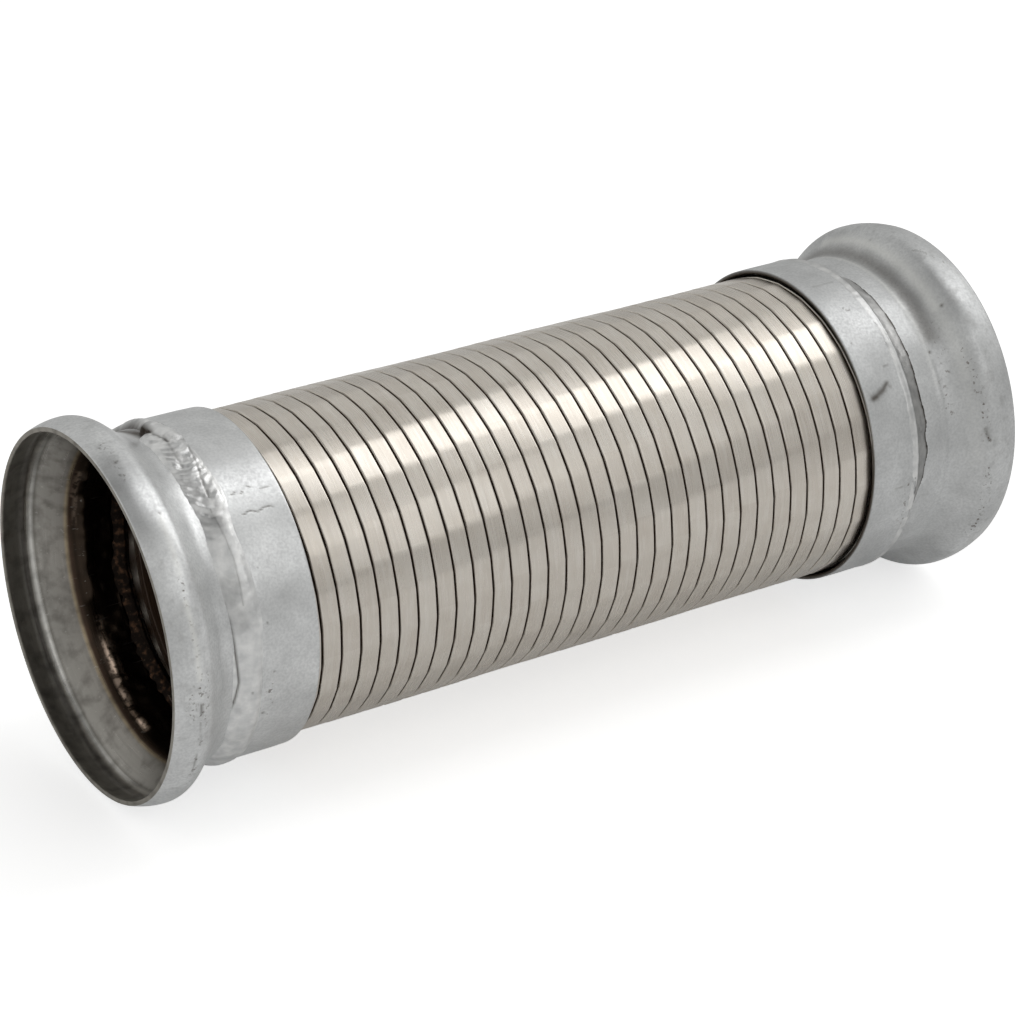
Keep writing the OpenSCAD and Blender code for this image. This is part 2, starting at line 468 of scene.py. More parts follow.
INLET_FLANGE_DIRT_AND_SHADE = [
    (0.8, 0.7, [(4.0, 10.2)]), (0.7, 0.8, [(5.0, 18.0)]), (0.7, 0.6, [(5.5, 20.7)]),
    (0.8, 0.7, [(4.0, 22.7)]), (0.9, 0.7, [(9.5, 38.2)]), (0.6, 0.9, [(8.2, 94.0), (8.4, 97.0)]),
    (0.45, 0.5, [(8.3, 100.0), (8.6, 108.0)]), (0.45, 0.5, [(8.3, 112.0), (8.2, 120.0)]),
    # painted shade in the recess beside the weld's finger
    (0.95, 4.6, [(25.4, -24.0), (26.2, -14.0), (27.0, -6.0)]),
]
# A worn ridge on the inlet flange's crest, brightened with painted highlights.
INLET_FLANGE_WEAR_AND_PAINTED_HIGHLIGHT = [
    (0.6, 1.8, [(7.8, 64.0), (8.2, 74.0), (8.0, 86.0)]), (0.35, 2.2, [(9.0, 40.0), (8.5, 56.0)]),
]
INLET_FLANGE_SPECKS = [
    (0.9, 1.6, [(8.0, 52.0), (8.3, 61.0), (8.0, 70.0), (8.2, 94.0), (8.6, 108.0), (8.2, 131.0)]),
    (0.7, 3.0, [(5.0, 88.0), (5.0, 98.0)]), (0.6, 2.4, [(10.5, 86.0), (10.5, 102.0)]),
    (0.6, 2.6, [(5.0, 8.0), (5.0, 24.0)]),
]
# Dark marks on the outlet flange: pits and specks, and in the last row a band of painted shade.
OUTLET_FLANGE_DIRT_AND_SHADE = [
    (0.9, 1.1, [(305.5, 49.7)]), (0.9, 1.1, [(315.0, 36.0)]),
    (0.4, 0.7, [(319.5, 13.2), (322.0, 16.0)]), (0.5, 0.9, [(316.5, 80.0), (317.5, 84.0)]),
    (0.5, 0.8, [(315.0, -4.8)]),
    # partly painted shade for the dark reflection in the flare's hollow, partly a thinner coat there
    (0.5, 6.5, [(308.6, -70.0), (308.6, 0.0), (308.0, 26.0), (307.6, 44.0)]),
]
# Painted highlights on the outlet flange: along the ridge at the neck and the flare's shoulder, fading round.
OUTLET_FLANGE_PAINTED_HIGHLIGHT = [
    (0.3, 1.6, [(304.6, -20.0), (304.6, 30.0)]), (0.16, 2.0, [(304.4, 30.0), (304.0, 62.0)]),
    (0.42, 3.2, [(313.8, -30.0), (313.4, 10.0), (313.2, 36.0)]),
    (0.24, 3.8, [(313.3, 36.0), (313.6, 62.0)]), (0.12, 4.4, [(313.6, 62.0), (314.0, 92.0)]),
]
OUTLET_FLANGE_SPECKS = [
    (0.9, 2.4, [(315.0, 52.0), (316.0, 66.0), (317.0, 84.0)]),
    (0.9, 3.4, [(317.5, 94.0), (318.5, 104.0), (319.0, 122.0)]),
    (0.7, 3.0, [(306.5, 60.0), (307.0, 73.0)]), (0.6, 2.4, [(319.5, 12.0), (326.0, 22.0)]),
    (0.6, 3.0, [(310.0, 40.0), (309.0, 58.0)]),
]


BORE_GLINTS = [  # where the brown scale inside has flaked off along the weld's root, painted bright as glints
    (1.0, 1.5, [(26.2, -121), (25.2, -133), (24.4, -145), (23.9, -158), (24.0, -170)]),
    (0.5, 1.0, [(27.8, -128), (27.0, -146)]), (0.35, 1.6, [(22.5, -60), (22.0, -84)]),
]


def build_flange(name, body, end_x, is_outlet, dirt, shine, specks):
    outline, inner_from = flange_outline(end_x)
    finish = DULL_SHADED_STEEL if is_outlet else STEEL

    def shape(x, r, a):
        along = OVERALL_L - x if is_outlet else x
        wobble = 0.10 * lumps(x, a, 26, 5 + is_outlet) * smooth_step(x / 6)
        pits = marks(along, a, [m for m in dirt if m[0] > 0.6])
        if is_outlet:
            used = 0.22 * np.exp(-((x - 25.4) / 0.8) ** 2)      # a ridge the press left at the neck
        else:
            used = 0.12 * mark(along, a, [(8.2, 50), (8.2, 132)], 2.2) * lumps(x, a, 1.6, 9)
        # the outer weld shows through the neck as lumps on its inside
        inside = smooth_step((x - 23.0) / 2.5) * smooth_step((NECK_R - 0.6 - r) / 0.5)
        sagged = inside * np.maximum(0, 0.5 + 0.9 * lumps(x, a, 6.5, 17) + 0.4 * lumps(x, a, 2.6, 18))
        height = r + wobble - 0.22 * pits * (r > NECK_R - 0.5) + used - sagged
        return along, np.minimum(height, CREST_R - 0.02)

    def paint(x, r, a):
        own = OVERALL_L - x if is_outlet else x
        rub = 0.12 * smooth_step(lumps(x, a, 2.1, 21) * 2 - 0.6) * smooth_step((r - 60) / 3)
        weld_x = 34 if is_outlet else 22.5
        toe = 0.5 * smooth_step((own - weld_x) / 4) * smooth_step(lumps(x, a, 2.6, 27) + 0.4)
        outside = r > NECK_R - 0.7
        return {
            # dark marks with painted shade; painted highlights outside, the bore's flaked scale painted as
            # glints inside
            "dirt": np.clip(marks(x, a, dirt) + rub + 0.3 * toe, 0, 1),
            "shine": np.where(outside, marks(x, a, shine), marks(own, a, BORE_GLINTS)),
            "specks": marks(x, a, specks),
            "depth": own / BORE_DEPTH,
        }

    return turned(name.replace("flange", "flare"), outline, [finish, BORE], body, [name],
                  shape, paint, inner_from)


build_flange("inlet_flange", INLET, INLET_NECK_END, False, INLET_FLANGE_DIRT_AND_SHADE, INLET_FLANGE_WEAR_AND_PAINTED_HIGHLIGHT,
             INLET_FLANGE_SPECKS)
build_flange("outlet_flange", OUTLET, OUTLET_NECK_END, True, OUTLET_FLANGE_DIRT_AND_SHADE, OUTLET_FLANGE_PAINTED_HIGHLIGHT,
             OUTLET_FLANGE_SPECKS)


INLET_COLLAR_DIRT = [
    (0.75, 0.5, [(37.0, 35.2), (38.5, 34.6)]), (0.75, 0.5, [(40.0, 35.6), (41.0, 34.9)]),
    (0.7, 0.5, [(43.0, 33.4), (44.2, 34.0)]), (0.5, 0.45, [(46.8, 35.6), (50.0, 35.4)]),
    (0.75, 0.5, [(38.0, 42.6), (40.5, 41.8), (43.0, 42.9), (46.0, 41.8), (48.5, 42.4)]),
    (0.7, 0.7, [(36.0, 77.7)]), (0.9, 0.9, [(34.5, 110.7)]), (0.4, 0.5, [(36.5, 60.0)]),
]
OUTLET_COLLAR_DIRT = [
    (0.45, 0.5, [(277.0, 11.2), (286.0, 11.2)]),
    (0.6, 0.4, [(280.4, 25.0), (281.2, 26.6), (282.4, 26.4)]), (0.7, 0.6, [(275.0, 39.7)]),
    (0.85, 2.4, [(275.0, 60.6), (276.6, 60.2)]), (0.75, 2.2, [(277.6, 59.6), (280.2, 58.4)]),
    (0.75, 1.7, [(280.6, 57.9), (282.2, 56.6)]), (0.4, 1.2, [(282.4, 57.4), (283.4, 58.2)]),
    (0.6, 0.6, [(283.2, 50.7), (285.0, 50.7)]), (0.5, 0.5, [(281.0, 95.2), (284.0, 95.2)]),
]


def build_collar(name, body, start_x, mouth_x, outer_r, finish, dirt):
    """A plain sleeve, rounded at its mouth; its other end is under the weld."""
    inner_r = outer_r - COLLAR_WALL
    turn = 1 if mouth_x > start_x else -1
    top = spaced([(start_x, outer_r), (mouth_x - turn * 0.5, outer_r)], SURFACE_STEP)
    mouth = [(mouth_x - turn * 0.2, outer_r - 0.08), (mouth_x, outer_r - 0.4), (mouth_x, inner_r + 0.3),
             (mouth_x - turn * 0.25, inner_r)]
    bottom = spaced([(mouth_x - turn * 0.5, inner_r), (start_x, inner_r)], HIDDEN_STEP)

    def shape(x, r, a):
        near_mouth = smooth_step(1 - abs(x - mouth_x) / 6)
        wobble = 0.12 * lumps(x, a, 30, 12) + 0.18 * near_mouth * lumps(x * 0, a, 22, 14)
        pits = marks(x, a, dirt)
        return x, r + wobble - 0.12 * pits * (r > inner_r + 0.5)

    def paint(x, r, a):
        speck_x = start_x + turn * 3
        # painted shade on the mouth's end face
        edge = 0.75 * smooth_step(1 - abs(x - mouth_x) / 0.7) * smooth_step((outer_r - 0.1 - r) / 0.3)
        # the inside of the sleeve darkened almost fully
        inside = 0.95 * (r < inner_r + 0.6)
        return {"dirt": np.clip(marks(x, a, dirt) + edge + inside, 0, 1), "shine": 0.0 * x,
                "specks": marks(x, a, [(0.7, 3.0, [(speck_x, 95), (speck_x, 112)])])}

    outline = top + mouth + bottom
    return turned(name.replace("collar", "sleeve"), outline, [finish], body, [name], shape, paint)


build_collar("inlet_collar", INLET, INLET_COLLAR_X, INLET_MOUTH_X, INLET_COLLAR_R, STEEL, INLET_COLLAR_DIRT)
build_collar("outlet_collar", OUTLET, OUTLET_COLLAR_X, OUTLET_MOUTH_X, OUTLET_COLLAR_R, DULL_SHADED_STEEL,
             OUTLET_COLLAR_DIRT)


# ---------------------------------------------------------------- welds

BEAD_FOLDS = [
    (0.45, 0.7, [(33.4, 13), (32.0, 20), (30.6, 27), (30.0, 34)]),
    (0.3, 0.9, [(29.6, 3), (28.2, 12), (27.4, 20)]),
]
BEAD_BLOB = [(30.4, -8), (32.2, 5)]
BEAD_CRACK = [(23.6, 68), (24.6, 80), (25.4, 96), (24.2, 104), (22.4, 110)]
BEAD_MISS = [(28.6, -34), (29.4, -22), (28.2, -13)]   # where the run missed the joint


def inlet_bead(x, r, a):
    """Height of the inlet bead: ripples and folds near the top where the run began, smooth below."""
    rough = 0.2 + 0.8 * window(a, -14, 40, 16) + 0.4 * window(a, -170, -60, 40)
    toe = 23.2 + 0.9 * lumps(x * 0, a, 7, 31) + 5.0 * window(a, -36, -6, 8) - 0.8 * window(a, 40, 76, 20)
    top = 34.2 + 0.7 * lumps(x * 0, a, 9, 32) + 1.3 * window(a, 0, 40, 20)
    s = np.clip((x - toe) / (top - toe), 0, 1)
    body = NECK_R + (INLET_COLLAR_R - NECK_R) * smooth_step(s * 1.1)
    crown = 0.95 * (4 * s * (1 - s)) ** 0.7
    sunk = -0.35 * ((x < toe) | (x > top))
    bumps = rough * (0.5 * lumps(x, a, 4.2, 33) + 0.2 * lumps(x + a * 0.25, a, 2.0, 34))
    ripple = 0.12 * rough * np.sin(2 * math.pi * (a / 3.1 + (x - 29.5) ** 2 / 26 + 0.5 * lumps(x, a, 8, 36)))
    blob = np.sqrt(np.clip(1 - (away_from(x, a, BEAD_BLOB) / 3.3) ** 2, 0, 1))
    fold = 0.55 * marks(x, a, BEAD_FOLDS)
    crack = 0.45 * mark(x, a, BEAD_CRACK, 0.8)
    ring = away_from(x, a, [(32.6, 23)])
    drop = 0.3 * np.exp(-((ring - 0.9) / 0.35) ** 2)
    edge = smooth_step(5 * s) * smooth_step(5 * (1 - s))
    bead = body + sunk + edge * (crown + bumps + ripple)
    finger = (NECK_R + 0.8) * (blob > 0) + (INLET_COLLAR_R - NECK_R + 0.6) * blob
    missed = 1.1 * mark(x, a, BEAD_MISS, 3.4)
    height = np.maximum(bead - missed, finger) + drop - fold - crack
    return x, np.where(r > NECK_R - 0.1, height, r)


def inlet_bead_paint(x, r, a):
    rough = window(a, -14, 44, 14)
    # painted shade in the folds, the crack, the recess beside the finger and where the run missed; also a
    # thin dark line and a spot
    folds = marks(x, a, BEAD_FOLDS + [
        (0.85, 0.6, BEAD_CRACK), (0.75, 2.6, [(26.0, -14), (27.6, -8), (27.6, -3)]), (0.9, 4.0, BEAD_MISS),
        (0.3, 0.5, [(28.6, 38), (29.6, 55), (29.0, 70)]), (0.7, 0.7, [(29.5, 100.2)]),
    ])
    # painted shade in the crease round the finger
    painted_crease_shade = 0.6 * np.exp(-((away_from(x, a, BEAD_BLOB) - 3.3) / 0.4) ** 2) * window(a, -40, 8, 4)
    patch = 0.12 * smooth_step(2.4 * lumps(x, a, 6.5, 35) - 0.4) * window(a, 40, 100, 20)
    # painted shade in the hollows between the bumps
    hollow = 0.12 * rough * smooth_step(-2.2 * lumps(x, a, 4.2, 33) - 0.7)
    # painted highlights on the small bumps of the rippled part
    bright = rough * smooth_step(2.0 * lumps(x + a * 0.25, a, 1.8, 34) - 0.1)
    return {"dirt": np.clip(folds + hollow + patch + painted_crease_shade, 0, 1), "shine": 0.6 * bright}


def outlet_bead(x, r, a):
    """Height of the outlet bead: a thin bright ridge on the collar, then a hollow fillet, wavy-edged."""
    wide = 1.6 + 4.6 * window(a, 6, 96, 24) + 1.2 * window(a, 96, 180, 30) + 2.0 * window(a, -180, -20, 40)
    fillet_x = OUTLET_JOINT_X + 0.2
    toe = OUTLET_JOINT_X + wide + 0.45 * lumps(x * 0, a, 5, 41)
    s = np.clip((x - fillet_x) / (toe - fillet_x), 0, 1)
    fillet = OUTLET_COLLAR_R + 0.25 - (OUTLET_COLLAR_R + 0.1 - NECK_R) * s ** 0.75
    ridge_top = 287.2 + 0.4 * lumps(x * 0, a, 6, 42)
    ridge = smooth_step((x - ridge_top) / 1.6) * smooth_step((291.4 - x) / 1.6)
    before = OUTLET_COLLAR_R - 0.15 + 0.26 * ridge
    height = np.where(x < fillet_x, before, fillet + 0.1 * ridge)
    height = height - 0.4 * (x > toe + 0.1) + 0.07 * lumps(x, a, 1.4, 43) + 0.06 * lumps(x, a, 3.5, 44)
    pit = 0.4 * mark(x, a, [(290.0, 97), (290.4, 99.5)], 1.0)
    return x, np.where(r > NECK_R - 0.1, height - pit, r)


def outlet_bead_paint(x, r, a):
    # painted shade: the hollow fillet darker past the joint, more so towards the bottom
    band = smooth_step((x - 290.1) / 0.8)
    low = window(a, 50, 180, 30)
    # painted shade along the toe, where the fillet steps down to the neck
    outline = 0.7 * np.exp(-((r - NECK_R - 0.15) / 0.25) ** 2) * band
    pits = marks(x, a, [(0.8, 0.8, [(290.0, 97), (290.4, 99.5)]), (0.5, 0.6, [(289.5, 93)])])
    return {"dirt": np.clip(0.14 + (0.22 + 0.14 * low) * band + outline + pits, 0, 1), "shine": 0.0 * x}


def bead_outline(start_x, end_x):
    top = [(x, NECK_R) for x in np.arange(start_x, end_x, BEAD_STEP)]
    return top + [(end_x, NECK_R - 0.4), ((start_x + end_x) / 2, NECK_R - 0.6), (start_x, NECK_R - 0.4)]


turned("inlet_bead", bead_outline(21.5, 37.5), [WELD], INLET, ["inlet_weld"], inlet_bead,
       inlet_bead_paint)
turned("outlet_bead", bead_outline(285.5, 298.0), [WELD], OUTLET, ["outlet_weld"], outlet_bead,
       outlet_bead_paint)


def build_root_bead(name, body, neck_end, is_outlet):
    """The rough bead inside, from the neck's bore down to the hose."""
    x0 = neck_end - 1.6
    line = spaced([(x0, BORE_R + 0.4), (x0 + 1.2, BORE_R - 0.5), (x0 + 3.2, BORE_R - 2.0),
                   (x0 + 5.0, BORE_R - 2.9), (x0 + 6.4, BORE_R - 2.2)], ROOT_STEP)
    outline = line + [(x0 + 6.4, BORE_R + 1.0), (x0, BORE_R + 1.0)]

    def shape(x, r, a):
        inside = r < BORE_R + 0.3
        own = x + 0.9 * lumps(x * 0, a, 9, 51) * inside
        r = r - inside * (0.45 * lumps(x, a, 5.5, 52) + 0.12 * lumps(x, a, 2.0, 53))
        return (OVERALL_L - own if is_outlet else own), r

    return turned(name.replace("weld", "bead"), outline, [ROOT], body, [name], shape)


build_root_bead("inlet_root_weld", INLET, INLET_NECK_END, False)
build_root_bead("outlet_root_weld", OUTLET, OUTLET_NECK_END, True)


# ---------------------------------------------------------------- strip-wound hose

def fold(x, d, radius, start, end):
    """A rounded fold of the strip's section; d is the height above the outer face."""
    return arc(x, d, radius, start, end, 4)


def strip_section():
    """The folded strip's closed section as (along the pipe, above the outer face) points in mm."""
    t = STRIP_T
    outer = BEND_R
    inner = 0.12
    bottom = -HOSE_DEPTH
    near = 0.25
    return ([(0.0, -HOOK_DEPTH), (0.0, -outer - near)]
            + fold(outer, -outer, outer, 180, 90) + [(outer + near, 0.0), (BAND_W - outer - near, 0.0)]
            + fold(BAND_W - outer, -outer, outer, 90, 0)
            + [(BAND_W, -outer - near), (BAND_W, bottom + t + inner)]
            + fold(BAND_W + inner, bottom + t + inner, inner, 180, 270)
            + fold(CATCH_X - inner, bottom + t + inner, inner, 270, 360)
            + [(CATCH_X, -CATCH_DEPTH), (CATCH_X + t, -CATCH_DEPTH)]
            + fold(CATCH_X + t - outer, bottom + outer, outer, 0, -90)
            + fold(BAND_W - t + outer, bottom + outer, outer, 270, 180)
            + fold(BAND_W - t - inner, -t - inner, inner, 0, 90)
            + fold(t + inner, -t - inner, inner, 90, 180)
            + [(t, -HOOK_DEPTH)])


def section_object():
    curve = bpy.data.curves.new("strip_section", "CURVE")
    curve.dimensions = "2D"
    points = strip_section()
    line = curve.splines.new("POLY")
    line.points.add(len(points) - 1)
    for point, (x, d) in zip(line.points, points):
        point.co = (d * MM, x * MM, 0, 1)
    line.use_cyclic_u = True
    section = bpy.data.objects.new("strip_section", curve)
    bpy.context.scene.collection.objects.link(section)
    return section


def strip_tree():
    """Winds a straight length of folded strip round the pipe in short flats.

    The strip is first swept straight, one unit of length to each step. Each of its points then goes to
    its angle, its radius on the flat it belongs to, and its place along the pipe. The strip's corners are
    numbered from end to end of the hose, so that pieces cut anywhere still follow one another.
    """
    tree = bpy.data.node_groups.new("wound strip", "GeometryNodeTree")
    face = tree.interface
    face.new_socket("Geometry", in_out="OUTPUT", socket_type="NodeSocketGeometry")
    sockets = {
        "Section": "Object", "Finish": "Material", "Flats": "Int", "Points per flat": "Int",
        "First corner number": "Int", "Seed": "Int", "Flat angle": "Float", "Lead-in": "Float",
        "Span": "Float", "Start angle": "Float", "Corner radius": "Float", "Start": "Float",
        "Pitch": "Float", "Corner scatter": "Float", "Radius scatter": "Float", "Flatness": "Float",
    }
    for name, kind in sockets.items():
        face.new_socket(name, in_out="INPUT", socket_type="NodeSocket" + kind)
    given = add(tree, "NodeGroupInput").outputs

    known = {name: given[name] for name in sockets}
    position = add(tree, "GeometryNodeInputPosition")
    known.update(add(tree, "ShaderNodeSeparateXYZ", {0: position}).outputs.items())

    # which flat a point is on; a row gives a name to the outcome of one operation
    for name, operation, *taken in [
        ("steps", "MULTIPLY", "Flats", "Points per flat"),
        ("points", "ADD", "steps", 1.0),
        ("step", "ROUND", "X"),
        ("flats passed", "DIVIDE", "step", "Points per flat"),
        ("whole flats", "FLOOR", "flats passed"),
        ("last flat", "SUBTRACT", "Flats", 1.0),
        ("flat", "MINIMUM", "whole flats", "last flat"),
        ("next flat", "ADD", "flat", 1.0),
        ("share", "SUBTRACT", "flats passed", "flat"),
    ]:
        inputs = {i: known.get(value, value) for i, value in enumerate(taken)}
        known[name] = add(tree, "ShaderNodeMath", inputs, operation=operation)

    # random amounts that belong to a corner, whichever piece it is in
    for name, corner, seed_shift in [
        ("stray", "flat", 0.0), ("next stray", "next flat", 0.0),
        ("dent", "flat", DENT_SEED_SHIFT), ("next dent", "next flat", DENT_SEED_SHIFT),
        ("shade", "flat", TONE_SEED_SHIFT),
    ]:
        number = add(tree, "ShaderNodeMath",
                     {0: known[corner], 1: given["First corner number"]}, operation="ADD")
        seed = add(tree, "ShaderNodeMath", {0: given["Seed"], 1: seed_shift}, operation="ADD")
        known[name] = add(tree, "FunctionNodeRandomValue",
                          {2: -1.0, 3: 1.0, "ID": number, "Seed": seed}, data_type="FLOAT")

    # where the point goes
    for name, operation, *taken in [
        ("even angle", "MULTIPLY", "Flat angle", "flat"),
        ("strayed", "MULTIPLY", "stray", "Corner scatter"),
        ("angle before", "ADD", "even angle", "strayed"),
        ("next even angle", "MULTIPLY", "Flat angle", "next flat"),
        ("next strayed", "MULTIPLY", "next stray", "Corner scatter"),
        ("angle after", "ADD", "next even angle", "next strayed"),
        ("flat's angle", "SUBTRACT", "angle after", "angle before"),
        ("half", "MULTIPLY", "flat's angle", 0.5),
        ("centre", "ADD", "angle before", "half"),
        ("half share", "MULTIPLY", "half", "share"),
        ("gone", "MULTIPLY", "half share", 2.0),
        ("laid", "ADD", "angle before", "gone"),
        # what lies past the piece's two ends is drawn back to them
        ("end", "ADD", "Lead-in", "Span"),
        ("past the start", "MAXIMUM", "laid", "Lead-in"),
        ("cut", "MINIMUM", "past the start", "end"),
        ("turned by", "SUBTRACT", "cut", "Lead-in"),
        ("from centre", "SUBTRACT", "cut", "centre"),
        ("halves", "DIVIDE", "from centre", "half"),
        ("halves from -1", "MAXIMUM", "halves", -1.0),
        ("across", "MINIMUM", "halves from -1", 1.0),
        # each corner lies in by its own dent, and a flat runs between its two corners
        ("before dent", "MULTIPLY", "dent", "Radius scatter"),
        ("after dent", "MULTIPLY", "next dent", "Radius scatter"),
        ("from the corner", "ADD", "across", 1.0),
        ("weight", "MULTIPLY", "from the corner", 0.5),
        ("weight before", "SUBTRACT", 1.0, "weight"),
        ("dent from before", "MULTIPLY", "before dent", "weight before"),
        ("dent from after", "MULTIPLY", "after dent", "weight"),
        ("both dents", "ADD", "dent from before", "dent from after"),
        ("lies in", "ABSOLUTE", "both dents"),
        ("corner radius", "SUBTRACT", "Corner radius", "lies in"),
        ("half across", "MULTIPLY", "half", "across"),
        ("cosine of half", "COSINE", "half"),
        ("cosine across", "COSINE", "half across"),
        ("chord", "DIVIDE", "cosine of half", "cosine across"),
        ("hollow", "SUBTRACT", 1.0, "chord"),
        ("sunk", "MULTIPLY", "hollow", "Flatness"),
        ("left", "SUBTRACT", 1.0, "sunk"),
        ("path radius", "MULTIPLY", "corner radius", "left"),
        # the sweep lays the section's two directions along -Y and -Z
        ("radius", "SUBTRACT", "path radius", "Y"),
        ("along", "SUBTRACT", "Start", "Z"),
        ("turns", "DIVIDE", "turned by", 2 * math.pi),
        ("lead", "MULTIPLY", "Pitch", "turns"),
        ("wound x", "ADD", "along", "lead"),
        ("angle", "ADD", "Start angle", "turned by"),
        ("sine", "SINE", "angle"),
        ("across the pipe", "MULTIPLY", "radius", "sine"),
        ("wound y", "MULTIPLY", "across the pipe", -1.0),
        ("cosine", "COSINE", "angle"),
        ("wound z", "MULTIPLY", "radius", "cosine"),
        ("tone", "ABSOLUTE", "shade"),
    ]:
        inputs = {i: known.get(value, value) for i, value in enumerate(taken)}
        known[name] = add(tree, "ShaderNodeMath", inputs, operation=operation)
    wound = add(tree, "ShaderNodeCombineXYZ", {i: known["wound " + axis] for i, axis in enumerate("xyz")})

    far_end = add(tree, "ShaderNodeCombineXYZ", {0: known["steps"]})
    line = add(tree, "GeometryNodeCurvePrimitiveLine", {"End": far_end})
    line = add(tree, "GeometryNodeResampleCurve", {"Curve": line, "Count": known["points"]})
    line = add(tree, "GeometryNodeSetCurveNormal", {"Curve": line}, mode="Z_UP")
    profile = add(tree, "GeometryNodeObjectInfo", {"Object": given["Section"]}).outputs["Geometry"]
    swept = add(tree, "GeometryNodeCurveToMesh", {"Curve": line, "Profile Curve": profile, "Fill Caps": True})
    toned = add(tree, "GeometryNodeStoreNamedAttribute",
                {"Geometry": swept, "Name": "tone", "Value": known["tone"]}, data_type="FLOAT", domain="FACE")
    placed = add(tree, "GeometryNodeSetPosition", {"Geometry": toned, "Position": wound})
    merged = add(tree, "GeometryNodeMergeByDistance", {"Geometry": placed, "Distance": MERGE_WITHIN * MM})
    smooth = add(tree, "GeometryNodeSetShadeSmooth", {"Geometry": merged})
    outward = add(tree, "GeometryNodeFlipFaces", {"Mesh": smooth})
    solid = add(tree, "GeometryNodeRealizeInstances", {"Geometry": outward})
    dressed = add(tree, "GeometryNodeSetMaterial", {"Geometry": solid, "Material": given["Finish"]})
    add(tree, "NodeGroupOutput", {0: dressed})
    return tree


STRIP_TREE = strip_tree()
SECTION = section_object()


def wind(name, turns_before, ring_x, body, nodes):
    """One turn of wound strip. It starts at the seam, some turns after the strip's first corner."""
    wound = 360.0 * turns_before
    span = 360.0 - SEAM_GAP
    first_corner = math.floor(wound / FLAT_ANGLE)
    lead_in = wound - first_corner * FLAT_ANGLE
    values = {
        "Section": SECTION, "Finish": STRIP, "Flats": math.ceil((lead_in + span) / FLAT_ANGLE),
        "Points per flat": POINTS_PER_FLAT, "First corner number": first_corner, "Seed": STRIP_SEED,
        "Flat angle": math.radians(FLAT_ANGLE), "Lead-in": math.radians(lead_in), "Span": math.radians(span),
        "Start angle": math.radians(SEAM_ANGLE), "Corner radius": HOSE_R * MM,
        "Start": (ring_x + PITCH * (SEAM_ANGLE - LEVEL_ANGLE) / 360) * MM, "Pitch": PITCH * MM,
        "Corner scatter": math.radians(CORNER_SCATTER), "Radius scatter": RADIUS_SCATTER * MM,
        "Flatness": FLATNESS,
    }
    blank = bpy.data.objects.new(name + "_strip", bpy.data.meshes.new(name + "_strip"))
    bpy.context.scene.collection.objects.link(blank)
    modifier = blank.modifiers.new("wound strip", "NODES")
    modifier.node_group = STRIP_TREE
    for item in STRIP_TREE.interface.items_tree:
        if item.in_out == "INPUT":
            modifier[item.identifier] = values[item.name]
    seen = blank.evaluated_get(bpy.context.evaluated_depsgraph_get())
    mesh = bpy.data.meshes.new_from_object(seen)
    blank.modifiers.remove(modifier)
    bpy.data.objects.remove(blank)
    mesh.name = name
    piece = bpy.data.objects.new(name, mesh)
    bpy.context.scene.collection.objects.link(piece)
    return finish_piece(piece, body, nodes)


def wind_hose():
    """Turn by turn from the inlet collar to the outlet one, each starting where the last ended."""
    first = 1 - HELD_IN_INLET
    for turn in range(first, TURNS + HELD_IN_OUTLET + 1):
        ring_x = HOSE_X + (turn - 1) * PITCH
        if turn < 1:
            name, body, nodes = f"inlet_strip_{turn + HELD_IN_INLET}", INLET, ["inlet_hose_end"]
        elif turn > TURNS:
            name, body, nodes = f"outlet_strip_{turn - TURNS}", OUTLET, ["outlet_hose_end"]
        else:
            name, body, nodes = f"strip_turn_{turn:02d}", f"turn_{turn:02d}", [f"hose_turn_{turn:02d}"]
        wind(name, turn - first, ring_x, body, nodes)


wind_hose()
bpy.data.objects.remove(SECTION)


# ---------------------------------------------------------------- floor, light and camera

FLOOR_CLEAR = 0.2        # millimetres between the pipe and the table
GLOW_SEEN = 0.62
GLOW_MIRRORED = 0.12
LENS_MM = 113.41
SENSOR_MM = 36
CAMERA_PLACE = (-0.37145, -0.82048, 0.46465)
CAMERA_AIM = (0.48944, 0.75759, -0.43187)
ROOM_WARMTH = 0.985      # how much blue there is in the room's greys
ROOM_LEVELS = [(0.5, 0.42), (0.68, 0.53), (0.79, 0.66), (0.89, 0.64), (0.955, 0.28), (1.0, 0.14)]


def seen_glow(tree, straight, mirrored):
    """Extra brightness of the table where it is seen: straight on, and in the metal or through glass."""
    path = add(tree, "ShaderNodeLightPath").outputs
    either = add(tree, "ShaderNodeMath",
                 {0: path["Is Glossy Ray"], 1: path["Is Transmission Ray"]}, operation="MAXIMUM")
    indirect = add(tree, "ShaderNodeMath", {0: either, 1: mirrored}, operation="MULTIPLY")
    direct = add(tree, "ShaderNodeMath", {0: path["Is Camera Ray"], 1: straight}, operation="MULTIPLY")
    return add(tree, "ShaderNodeMath", {0: direct, 1: indirect}, operation="ADD")


def build_floor():
    """A plain white table that keeps the pipe's shadow."""
    size = 12.0
    low = cad_box[0].z - FLOOR_CLEAR * MM
    corners = [(-size, -size, low), (size, -size, low), (size, size, low), (-size, size, low)]
    mesh = bpy.data.meshes.new("floor")
    mesh.from_pydata(corners, [], [(0, 1, 2, 3)])
    material = bpy.data.materials.new("white_table")
    material.use_nodes = True
    tree = material.node_tree
    tree.nodes.clear()
    matt = add(tree, "ShaderNodeBsdfDiffuse", {"Color": srgb("#e4e4e4")})
    glow = add(tree, "ShaderNodeEmission",
               {"Color": srgb("#ffffff"), "Strength": seen_glow(tree, GLOW_SEEN, GLOW_MIRRORED)})
    both = add(tree, "ShaderNodeAddShader", {0: matt, 1: glow})
    add(tree, "ShaderNodeOutputMaterial", {"Surface": both})
    mesh.materials.append(material)
    floor = bpy.data.objects.new("floor", mesh)
    bpy.context.scene.collection.objects.link(floor)


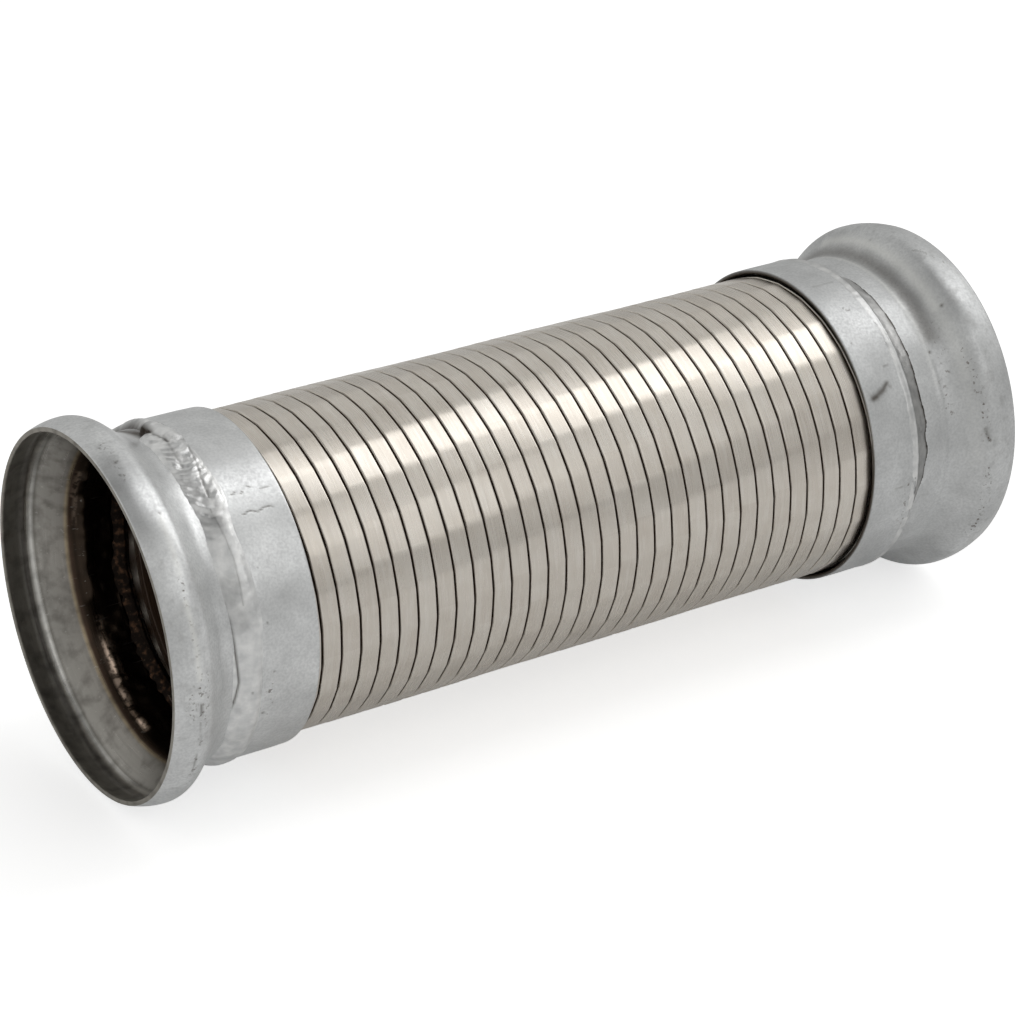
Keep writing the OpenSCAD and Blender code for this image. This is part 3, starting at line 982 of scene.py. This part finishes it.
def build_room():
    """A pale room, white where the camera sees it; the metal mirrors it, dark overhead."""
    world = bpy.data.worlds.new("room")
    world.use_nodes = True
    tree = world.node_tree
    tree.nodes.clear()
    way = add(tree, "ShaderNodeTexCoord").outputs["Generated"]
    height = add(tree, "ShaderNodeSeparateXYZ", {0: way}).outputs["Z"]
    height = add(tree, "ShaderNodeMapRange", {0: height, 1: -1.0, 2: 1.0, 3: 0.0, 4: 1.0})
    greys = add(tree, "ShaderNodeValToRGB", {"Fac": height})
    fill_ramp(greys, [(at, (level, level, level * ROOM_WARMTH, 1)) for at, level in ROOM_LEVELS])
    straight = add(tree, "ShaderNodeLightPath").outputs["Is Camera Ray"]
    sky = add(tree, "ShaderNodeBackground",
              {"Color": coated(tree, greys, [(straight, "#ffffff")]), "Strength": 1.0})
    add(tree, "ShaderNodeOutputWorld", {"Surface": sky})
    bpy.context.scene.world = world


def softbox(name, place, aim, width, height, watts, along=(1, 0, 0)):
    """A rectangular lamp turned to a point, its width in one direction as far as it can be."""
    lamp = bpy.data.lights.new(name, "AREA")
    lamp.shape = "RECTANGLE"
    lamp.size = width
    lamp.size_y = height
    lamp.energy = watts
    holder = bpy.data.objects.new(name, lamp)
    back = (Vector(place) - Vector(aim)).normalized()
    side = (Vector(along) - back * back.dot(Vector(along))).normalized()
    up = back.cross(side)
    turn = Matrix((side, up, back)).transposed().to_4x4()
    holder.matrix_world = Matrix.Translation(place) @ turn
    bpy.context.scene.collection.objects.link(holder)


def build_camera():
    """A long lens from the inlet's side, above and in front, the axis level."""
    camera = bpy.data.cameras.new("camera")
    camera.sensor_width = SENSOR_MM
    camera.lens = LENS_MM
    camera.clip_end = 50
    holder = bpy.data.objects.new("camera", camera)
    forward = Vector(CAMERA_AIM).normalized()
    right = forward.cross(Vector((0, 0, 1))).normalized()
    up = right.cross(forward)
    turn = Matrix((right, up, -forward)).transposed().to_4x4()
    holder.matrix_world = Matrix.Translation(CAMERA_PLACE) @ turn
    bpy.context.scene.collection.objects.link(holder)
    bpy.context.scene.camera = holder


build_floor()
build_room()
build_camera()
MIDDLE = (OVERALL_L * MM / 2, 0, 0)
softbox("key_softbox", (1.665, -0.12, 2.1), MIDDLE, 3.5, 1.15, 18.0)
softbox("near_fill", (0.34, -0.66, 0.46), (0.03, 0.0, 0.0), 0.5, 0.4, 0.28)
bpy.context.scene.view_settings.view_transform = "Standard"
